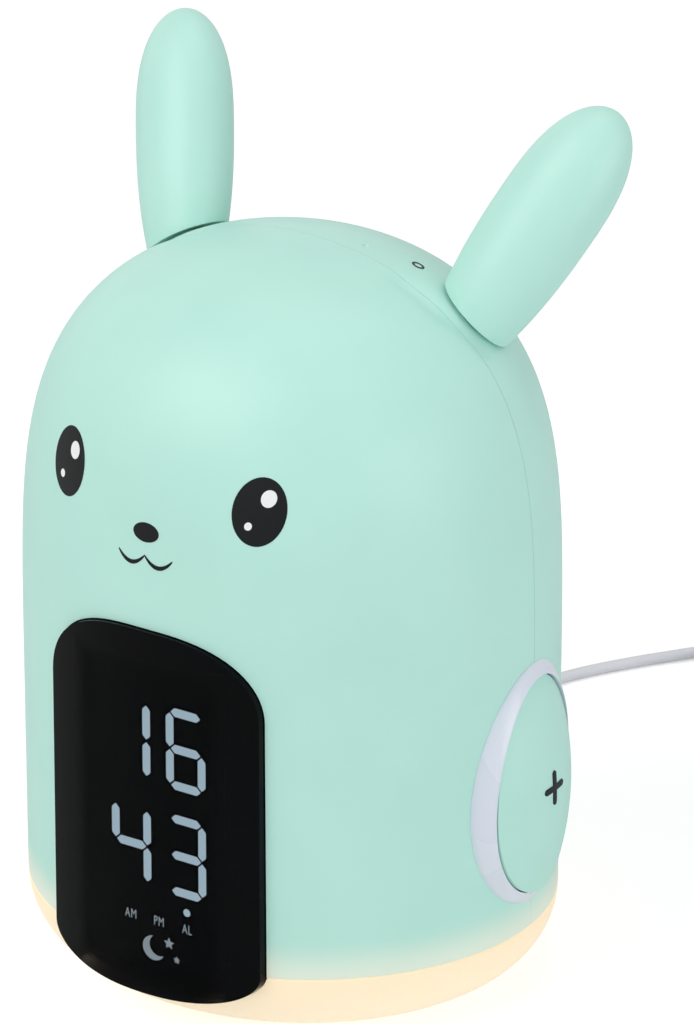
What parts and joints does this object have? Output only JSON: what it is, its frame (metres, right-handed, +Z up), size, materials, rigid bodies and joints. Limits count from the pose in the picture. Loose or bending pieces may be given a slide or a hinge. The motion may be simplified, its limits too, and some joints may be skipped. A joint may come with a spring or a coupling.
{
  "type": "kids alarm clock with night light",
  "caption": "Child's bedside alarm clock: mint domed body with two long sprung ears, an arched black display with digits, large side buttons and a glowing rounded base.",
  "frame": {"origin": "middle of the clock's footprint, on the table", "axes": "+Z up, the display faces -Y, +X to the viewer's right when the display is faced"},
  "size_m": [0.1433, 0.2719, 0.2032],
  "materials": {
    "mint": "fine satin moulded plastic, mint green",
    "glow": "frosted translucent plastic, lit warm white from inside",
    "white_plastic": "plain white moulded plastic",
    "rubber": "soft dark rubber",
    "steel": "plated steel",
    "white_board": "white solder mask",
    "green_board": "green solder mask",
    "chip_glow": "clear chip over yellow phosphor",
    "black_plastic": "plain black moulded plastic",
    "window_black": "polished dark smoked plastic",
    "digit_light": "diffusing plastic, lit cool white",
    "bezel_pale": "pale lavender translucent plastic",
    "ink": "printed dark ink",
    "paper_grey": "coated paper cone",
    "magnet_grey": "sintered magnet",
    "cable_white": "soft pale grey cable jacket",
    "tie_black": "woven hook-and-loop strap"
  },
  "bodies": {
    "clock": {"front_shell": "mint", "rear_shell": "mint", "diffuser": "glow", "base_plate": "white_plastic", "rubber_feet": "rubber", "base_screws": "steel", "shell_screws": "steel", "light_board": "white_board", "light_chips": "chip_glow", "light_screws": "steel", "cell_holder": "black_plastic", "coin_cell": "steel", "window_lens": "window_black", "digit_guide": "digit_light", "display_frame": "black_plastic", "display_board": "green_board", "display_leds": "chip_glow", "display_screws": "steel", "board_spacers": "white_plastic", "main_board": "green_board", "board_chips": "black_plastic", "main_screws": "steel", "plus_bezel": "bezel_pale", "plus_board": "green_board", "plus_screws": "steel", "minus_bezel": "bezel_pale", "minus_board": "green_board", "minus_screws": "steel", "ear_pins": "steel", "ear_springs": "steel", "ear_carrier": "white_plastic", "ear_switches": "black_plastic", "carrier_screws": "steel", "rear_board": "green_board", "rear_screws": "steel", "speaker_frame": "black_plastic", "speaker_cone": "paper_grey", "speaker_magnet": "magnet_grey", "speaker_screws": "steel", "usb_socket": "steel", "socket_board": "green_board", "socket_screws": "steel", "cable_plug": "cable_white", "cable_lead": "cable_white", "cable_coil": "cable_white", "cable_tie": "tie_black", "far_plug": "cable_white", "far_plug_shell": "steel"},
    "door": {"battery_door": "white_plastic"},
    "plus_key": {"plus_button": "mint", "plus_mark": "ink"},
    "minus_key": {"minus_button": "mint", "minus_mark": "ink"},
    "left_ear": {"ear_left": "mint"},
    "right_ear": {"ear_right": "mint"},
    "key_1": {"button_1": "white_plastic"},
    "key_2": {"button_2": "white_plastic"},
    "key_3": {"button_3": "white_plastic"},
    "key_4": {"button_4": "white_plastic"}
  },
  "joints": [
    {"name": "plus_press", "type": "slide", "parent": "clock", "child": "plus_key", "axis": [-1, 0, 0], "range_m": [0, 0.001], "stiffness_N_per_m": 400},
    {"name": "minus_press", "type": "slide", "parent": "clock", "child": "minus_key", "axis": [1, 0, 0], "range_m": [0, 0.001], "stiffness_N_per_m": 400},
    {"name": "ear_left_press", "type": "hinge", "parent": "clock", "child": "left_ear", "pos_m": [-0.03472, 0.00861, 0.14707], "axis": [1, 0, 0], "range_deg": [0, 4], "stiffness_Nm_per_rad": 0.4},
    {"name": "ear_right_press", "type": "hinge", "parent": "clock", "child": "right_ear", "pos_m": [0.03472, 0.00861, 0.14707], "axis": [1, 0, 0], "range_deg": [0, 4], "stiffness_Nm_per_rad": 0.4},
    {"name": "key_1_press", "type": "slide", "parent": "clock", "child": "key_1", "axis": [0, -1, 0], "range_m": [0, 0.0008], "stiffness_N_per_m": 300},
    {"name": "key_2_press", "type": "slide", "parent": "clock", "child": "key_2", "axis": [0, -1, 0], "range_m": [0, 0.0008], "stiffness_N_per_m": 300},
    {"name": "key_3_press", "type": "slide", "parent": "clock", "child": "key_3", "axis": [0, -1, 0], "range_m": [0, 0.0008], "stiffness_N_per_m": 300},
    {"name": "key_4_press", "type": "slide", "parent": "clock", "child": "key_4", "axis": [0, -1, 0], "range_m": [0, 0.0008], "stiffness_N_per_m": 300},
    {"name": "door_turn", "type": "hinge", "parent": "clock", "child": "door", "pos_m": [0, 0, 0.0015], "axis": [0, 0, 1], "range_deg": [0, 45]}
  ]
}
